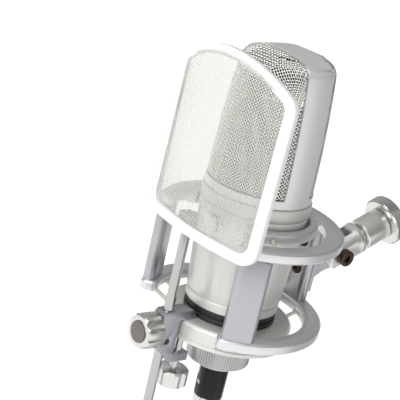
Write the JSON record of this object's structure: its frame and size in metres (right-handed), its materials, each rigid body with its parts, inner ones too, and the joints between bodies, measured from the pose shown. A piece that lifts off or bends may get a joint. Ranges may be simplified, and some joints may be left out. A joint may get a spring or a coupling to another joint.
{
  "type": "studio microphone in shock mount",
  "caption": "Side-address studio microphone in an elastic shock mount with a curved pop filter on a rod, a tilting stand adapter and a cable plug.",
  "frame": {"origin": "centre of the stand thread's mouth, where the stand's stud enters the adapter barrel", "axes": "+Z along the microphone's axis towards its head, -Y towards the open side of the mount, where the pop filter stands"},
  "size_m": [0.1195, 0.202, 0.2646],
  "materials": {
    "body_satin": "satin warm silver-grey lacquer",
    "grille_wire": "bright woven wire",
    "mount_metal": "bead-blasted anodised aluminium",
    "clamp_metal": "anodised aluminium",
    "knob_metal": "turned aluminium",
    "knob_cap": "matt cap",
    "nut_metal": "fine knurled aluminium",
    "chrome": "polished",
    "steel": "bright steel",
    "dark_screw": "dark oxide screw",
    "filter_paint": "white gloss enamel",
    "filter_mesh": "fine woven screen",
    "rubber_black": "black rubber",
    "elastic": "braided elastic cord",
    "lining": "felt lining",
    "plug_black": "black gloss",
    "insert_plastic": "moulded insulator",
    "brass": "gold plated",
    "board": "circuit board",
    "can_plastic": "sleeved capacitors"
  },
  "bodies": {
    "adapter": {"stand_barrel": "mount_metal"},
    "lock_ring": {"lock_ring": "chrome"},
    "fork": {"swivel_fork": "mount_metal", "pivot_bolt": "dark_screw", "pivot_nut": "steel"},
    "mount": {"upper_ring": "mount_metal", "lower_ring": "mount_metal", "left_post": "mount_metal", "right_post": "mount_metal", "rear_post": "mount_metal", "post_screws": "steel", "pivot_lug": "mount_metal", "lug_screws": "dark_screw"},
    "cradle": {"cradle_plate": "body_satin", "cradle_ring": "mount_metal", "ring_lining": "lining", "base_gasket": "rubber_black", "upper_elastics": "elastic", "lower_elastics": "elastic", "clamp_frame": "clamp_metal", "clamp_pad": "steel"},
    "microphone": {"head_band": "body_satin", "front_grille": "grille_wire", "rear_grille": "grille_wire", "front_inner_mesh": "grille_wire", "rear_inner_mesh": "grille_wire", "head_floor": "steel", "capsule_ring": "brass", "front_diaphragm": "brass", "rear_diaphragm": "brass", "capsule_post": "insert_plastic", "body_tube": "body_satin", "body_collar": "body_satin", "base_cup": "body_satin", "chassis_rails": "steel", "circuit_board": "board", "board_capacitors": "can_plastic", "output_transformer": "steel", "badge_plate": "steel", "base_stub": "body_satin", "connector_insert": "insert_plastic", "connector_pins": "brass"},
    "retaining_nut": {"retaining_nut": "nut_metal"},
    "cable_plug": {"plug_shell": "plug_black", "plug_screw": "steel", "plug_insert": "insert_plastic", "plug_band": "chrome", "plug_boot": "rubber_black"},
    "plug_latch": {"plug_latch": "steel"},
    "filter_rod": {"filter_rod": "chrome"},
    "pop_filter": {"filter_bracket": "steel", "filter_frame": "filter_paint", "filter_screen": "filter_mesh"},
    "rod_knob": {"rod_knob": "knob_metal", "rod_knob_cap": "knob_cap"},
    "clamp_knob": {"clamp_knob": "knob_metal"}
  },
  "joints": [
    {"name": "lock_ring_turn", "type": "hinge", "parent": "adapter", "child": "lock_ring", "pos_m": [0, -0.00498, -0.00232], "axis": [0, 0.9063, 0.4226], "continuous": true},
    {"name": "fork_swivel", "type": "hinge", "parent": "adapter", "child": "fork", "pos_m": [0, -0.02492, -0.01162], "axis": [0, 0.9063, 0.4226], "continuous": true},
    {"name": "mount_tilt", "type": "hinge", "parent": "fork", "child": "mount", "pos_m": [0, -0.04668, -0.02176], "axis": [1, 0, 0], "range_deg": [-35, 85]},
    {"name": "cradle_float", "type": "slide", "parent": "mount", "child": "cradle", "axis": [0, 0, 1], "range_m": [-0.0025, 0.0025], "stiffness_N_per_m": 9000, "springref_m": 0.001, "deforming": ["upper_elastics", "lower_elastics"]},
    {"name": "microphone_turn", "type": "hinge", "parent": "cradle", "child": "microphone", "pos_m": [0, -0.12618, -0.03726], "axis": [0, 0, 1], "range_deg": [-30, 20]},
    {"name": "nut_turn", "type": "hinge", "parent": "microphone", "child": "retaining_nut", "pos_m": [0, -0.12618, -0.07727], "axis": [0, 0, 1], "continuous": true},
    {"name": "plug_pull", "type": "slide", "parent": "microphone", "child": "cable_plug", "axis": [0, 0, -1], "range_m": [0, 0.02]},
    {"name": "latch_press", "type": "slide", "parent": "cable_plug", "child": "plug_latch", "axis": [0.6018, 0.7986, 0], "range_m": [0, 0.0008], "stiffness_N_per_m": 1500},
    {"name": "rod_slide", "type": "slide", "parent": "cradle", "child": "filter_rod", "axis": [0, 0, 1], "range_m": [-0.02, 0.03]},
    {"name": "filter_swing", "type": "hinge", "parent": "filter_rod", "child": "pop_filter", "pos_m": [0.0013, -0.17566, 0.00754], "axis": [0, 0, 1], "range_deg": [-18, 10]},
    {"name": "rod_knob_turn", "type": "hinge", "parent": "cradle", "child": "rod_knob", "pos_m": [0.00157, -0.18615, -0.06377], "axis": [0.0262, -0.9997, 0], "continuous": true},
    {"name": "clamp_knob_turn", "type": "hinge", "parent": "cradle", "child": "clamp_knob", "pos_m": [0.00092, -0.16116, -0.09727], "axis": [0, 0, 1], "continuous": true}
  ]
}
